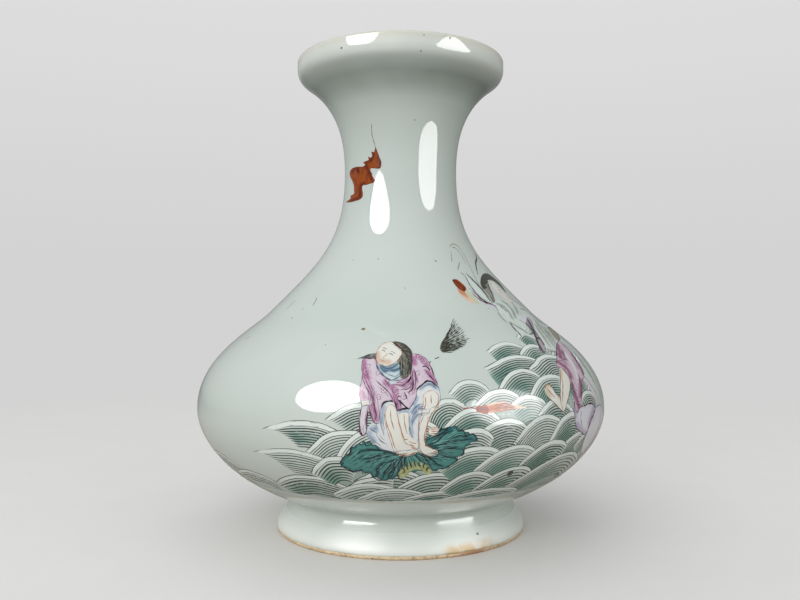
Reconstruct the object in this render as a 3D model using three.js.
// A porcelain vase of water chestnut form: a dish mouth with an upright collar, a waisted neck,
// a low wide belly and a flaring foot ring. The pot is thrown in five sections. Their flat ends
// are luted together, and each joint holds a thin ring of slip with a bead inside the wall.
// Millimetres, +Z up, origin at the centre of the resting plane.
import * as THREE from 'three';

// Heights, each from the level named before it
const bareEdgeHeight = 1.45;
const footHeight = 13;
const footToBelly = 34.1;
const bellyToShoulder = 35.5;
const shoulderToNeckJoint = 29.4;
const shoulderToWaist = 53.9;
const waistToMouthJoint = 20;
const waistToCollar = 39.3;
const collarHeight = 4.2;

// Outer radii
const mouthRadius = 40.3;
const waistRadius = 22;
const shoulderRadius = 50.7;
const bellyRadius = 77.5;
const footNeckRadius = 42.4;
const footRadius = 47.9;

// Curves: the collar's lower corner, slopes from the horizontal, and how far each curve
// runs on in its starting direction
const collarCornerRadius = 5.3;
const collarSlope = THREE.MathUtils.degToRad(33.7);
const shoulderSlope = THREE.MathUtils.degToRad(45);
const undersideSlope = THREE.MathUtils.degToRad(17.7);
const collarReach = 16.9;
const waistReachUp = 11.5;
const waistReachDown = 26.8;
const shoulderReachUp = 26.4;
const shoulderReachDown = 8.9;
const bellyReachUp = 19;
const bellyReachDown = 12.6;
const undersideReach = 22;
const footCoveReach = 3.4;
const footFlareReach = 3;

// Walls
const lipWall = 3;
const neckWall = 3.6;
const bellyWall = 4.4;
const footWall = 4.6;
const floorThickness = 4.6;
const bareEdgeChamfer = 0.7;

// Luting
const slipThickness = 0.8;
const slipBead = 0.7;

// Facets
const turnSegments = 60;
const outerSteps = 8;
const innerSteps = 5;
const cornerSteps = 4;
const footSteps = 6;
const lipSteps = 6;
const beadSteps = 3;

// Levels above the resting plane
const bellyLevel = footHeight + footToBelly;
const shoulderLevel = bellyLevel + bellyToShoulder;
const neckJointLevel = shoulderLevel + shoulderToNeckJoint;
const waistLevel = shoulderLevel + shoulderToWaist;
const mouthJointLevel = waistLevel + waistToMouthJoint;
const collarLevel = waistLevel + waistToCollar;
const lipLevel = collarLevel + collarHeight;

const straightDown = new THREE.Vector2(0, -1);

// A unit vector that runs outward and downward at a slope from the horizontal
function outAndDown(slope) {
  return new THREE.Vector2(Math.cos(slope), -Math.sin(slope));
}

// A curve from one profile point to the next, leaving and arriving in the given directions
function sweep(start, startDirection, startReach, end, endDirection, endReach) {
  const leave = start.clone().addScaledVector(startDirection, startReach);
  const arrive = end.clone().addScaledVector(endDirection, -endReach);
  return new THREE.CubicBezierCurve(start, leave, arrive, end);
}

// The collar's upright wall ends in a round corner that turns in to the underside's slope
function collarCorner() {
  const turn = Math.PI / 2 - collarSlope;
  const centreRadius = mouthRadius - collarCornerRadius;
  const size = collarCornerRadius;
  return new THREE.EllipseCurve(centreRadius, collarLevel, size, size, 0, -turn, true);
}

// The outer wall from the lip's spring to the crease over the foot, as curves of (radius, height)
function wallCurves() {
  const lipSpring = new THREE.Vector2(mouthRadius, lipLevel - lipWall / 2);
  const collarBottom = new THREE.Vector2(mouthRadius, collarLevel);
  const corner = collarCorner();
  const inAndDown = new THREE.Vector2(-Math.cos(collarSlope), -Math.sin(collarSlope));
  const waist = new THREE.Vector2(waistRadius, waistLevel);
  const shoulder = new THREE.Vector2(shoulderRadius, shoulderLevel);
  const shoulderDirection = outAndDown(shoulderSlope);
  const belly = new THREE.Vector2(bellyRadius, bellyLevel);
  const crease = new THREE.Vector2(footNeckRadius, footHeight);
  const underside = new THREE.Vector2(-Math.cos(undersideSlope), -Math.sin(undersideSlope));
  return [
    new THREE.LineCurve(lipSpring, collarBottom),
    corner,
    sweep(corner.getPoint(1), inAndDown, collarReach, waist, straightDown, waistReachUp),
    sweep(waist, straightDown, waistReachDown, shoulder, shoulderDirection, shoulderReachUp),
    sweep(shoulder, shoulderDirection, shoulderReachDown, belly, straightDown, bellyReachUp),
    sweep(belly, straightDown, bellyReachDown, crease, underside, undersideReach),
  ];
}

// The foot's outer wall: a cove under the crease, then a flare to the edge of the glaze
function footCurves() {
  const crease = new THREE.Vector2(footNeckRadius, footHeight);
  const glazeEdge = new THREE.Vector2(footRadius, bareEdgeHeight);
  return [sweep(crease, straightDown, footCoveReach, glazeEdge, straightDown, footFlareReach)];
}

// The wall grows from the lip to the neck and from the neck to the belly
function wallAt(height) {
  const { smoothstep, lerp } = THREE.MathUtils;
  const neckShare = 1 - smoothstep(height, mouthJointLevel, collarLevel);
  const bellyShare = 1 - smoothstep(height, bellyLevel, neckJointLevel);
  return lerp(lerp(lipWall, neckWall, neckShare), bellyWall, bellyShare);
}

function footWallAt() {
  return footWall;
}

function noWall() {
  return 0;
}

function stepsAlong(curve, steps) {
  if (curve instanceof THREE.LineCurve) return 1;
  return curve instanceof THREE.EllipseCurve ? cornerSteps : steps;
}

// Points along the curves, each moved in from the outer surface by the wall there.
// Only points that go on downward are kept, so a tight corner can't fold back.
function tracePoints(curves, wallFunction, steps) {
  const points = [];
  for (const curve of curves) {
    const count = stepsAlong(curve, steps);
    for (let step = 0; step <= count; step += 1) {
      const point = curve.getPoint(step / count);
      const tangent = curve.getTangent(step / count);
      const inward = new THREE.Vector2(tangent.y, -tangent.x);
      point.addScaledVector(inward, wallFunction(point.y));
      const last = points[points.length - 1];
      if (!last || point.y < last.y - 0.05) points.push(point);
    }
  }
  return points;
}

// The stretch of a downward run of points between two heights, with its ends cut level
function stretch(points, top, bottom) {
  const cut = [];
  for (let i = 0; i < points.length - 1; i += 1) {
    const upper = points[i];
    const lower = points[i + 1];
    for (const height of [top, bottom]) {
      if (upper.y > height && lower.y <= height) {
        cut.push(upper.clone().lerp(lower, (upper.y - height) / (upper.y - lower.y)));
      }
    }
    if (lower.y < top && lower.y > bottom) cut.push(lower.clone());
  }
  if (points[0].y <= top) cut.unshift(points[0].clone());
  const last = points[points.length - 1];
  if (last.y >= bottom && cut[cut.length - 1].y > last.y) cut.push(last.clone());
  return cut;
}

const outerWall = tracePoints(wallCurves(), noWall, outerSteps);
const innerWall = tracePoints(wallCurves(), wallAt, innerSteps);
const outerFoot = tracePoints(footCurves(), noWall, footSteps);
const innerFoot = tracePoints(footCurves(), footWallAt, footSteps);

const porcelainGlaze = { color: 0xc8d2cc, roughness: 0.12, metalness: 0 };
const footGlaze = { color: 0xd6dcd6, roughness: 0.16, metalness: 0 };
const driedSlip = { color: 0xe4ded0, roughness: 0.85, metalness: 0 };

// Turns a profile about the vase's axis. The profile runs down the outside and up the inside,
// and is turned in the other order so that its faces point out of the clay.
function turnedPiece(name, profile, look) {
  const geometry = new THREE.LatheGeometry(profile.slice().reverse(), turnSegments);
  geometry.rotateX(Math.PI / 2);
  const mesh = new THREE.Mesh(geometry, new THREE.MeshStandardMaterial(look));
  mesh.name = name;
  return mesh;
}

function closedProfile(outer, inner) {
  return [...outer, ...inner.slice().reverse(), outer[0].clone()];
}

// The mouth: its lip is a half round as wide as the wall
function mouthSection() {
  const bottom = mouthJointLevel + slipThickness / 2;
  const outer = stretch(outerWall, lipLevel, bottom);
  const inner = stretch(innerWall, lipLevel, bottom);
  const halfWall = lipWall / 2;
  const lip = [];
  for (let step = 1; step < lipSteps; step += 1) {
    const turn = Math.PI * (1 - step / lipSteps);
    const radius = mouthRadius - halfWall + halfWall * Math.cos(turn);
    lip.push(new THREE.Vector2(radius, lipLevel - halfWall + halfWall * Math.sin(turn)));
  }
  const profile = [...outer, ...inner.reverse(), ...lip, outer[0].clone()];
  return turnedPiece('mouth_section', profile, porcelainGlaze);
}

// A plain thrown section between two joints
function wallSection(name, upperJoint, lowerJoint) {
  const top = upperJoint - slipThickness / 2;
  const bottom = lowerJoint + slipThickness / 2;
  const outer = stretch(outerWall, top, bottom);
  const inner = stretch(innerWall, top, bottom);
  return turnedPiece(name, closedProfile(outer, inner), porcelainGlaze);
}

// The lower bowl: a flat underside on the foot joint and a level floor inside
function bellySection() {
  const top = bellyLevel - slipThickness / 2;
  const floorLevel = footHeight + floorThickness;
  const outer = stretch(outerWall, top, footHeight);
  const inner = stretch(innerWall, top, floorLevel);
  const floorCentre = new THREE.Vector2(0, floorLevel);
  const undersideCentre = new THREE.Vector2(0, footHeight);
  const profile = [floorCentre, ...inner.reverse(), ...outer, undersideCentre];
  return turnedPiece('belly_section', profile, porcelainGlaze);
}

// The foot ring: its bare edge is chamfered on both sides of a flat resting face
function footRing() {
  const top = footHeight - slipThickness;
  const outer = stretch(outerFoot, top, bareEdgeHeight);
  const inner = stretch(innerFoot, top, bareEdgeHeight);
  const innerEdgeRadius = footRadius - footWall;
  const restOuter = new THREE.Vector2(footRadius - bareEdgeChamfer, 0);
  const restInner = new THREE.Vector2(innerEdgeRadius + bareEdgeChamfer, 0);
  const profile = [...outer, restOuter, restInner, ...inner.reverse(), outer[0].clone()];
  return turnedPiece('foot_ring', profile, footGlaze);
}

// A ring of slip fills a joint: flush outside, with a rounded bead squeezed out inside
function slipRing(name, top, outerPoints, innerPoints) {
  const bottom = top - slipThickness;
  const outer = stretch(outerPoints, top, bottom);
  const inner = stretch(innerPoints, top, bottom);
  const bead = [inner[inner.length - 1]];
  for (let step = 1; step < beadSteps; step += 1) {
    const share = step / beadSteps;
    const seat = inner[inner.length - 1].clone().lerp(inner[0], share);
    seat.x -= slipBead * Math.sin(Math.PI * share);
    bead.push(seat);
  }
  bead.push(inner[0]);
  const ends = [outer[0], outer[outer.length - 1]];
  return turnedPiece(name, [...ends, ...bead, outer[0].clone()], driedSlip);
}

function jointRing(name, jointLevel) {
  return slipRing(name, jointLevel + slipThickness / 2, outerWall, innerWall);
}

const group = new THREE.Group();
group.add(
  mouthSection(),
  jointRing('mouth_joint_slip', mouthJointLevel),
  wallSection('neck_section', mouthJointLevel, neckJointLevel),
  jointRing('neck_joint_slip', neckJointLevel),
  wallSection('shoulder_section', neckJointLevel, bellyLevel),
  jointRing('belly_joint_slip', bellyLevel),
  bellySection(),
  slipRing('foot_joint_slip', footHeight, outerFoot, innerFoot),
  footRing(),
);

export default group;
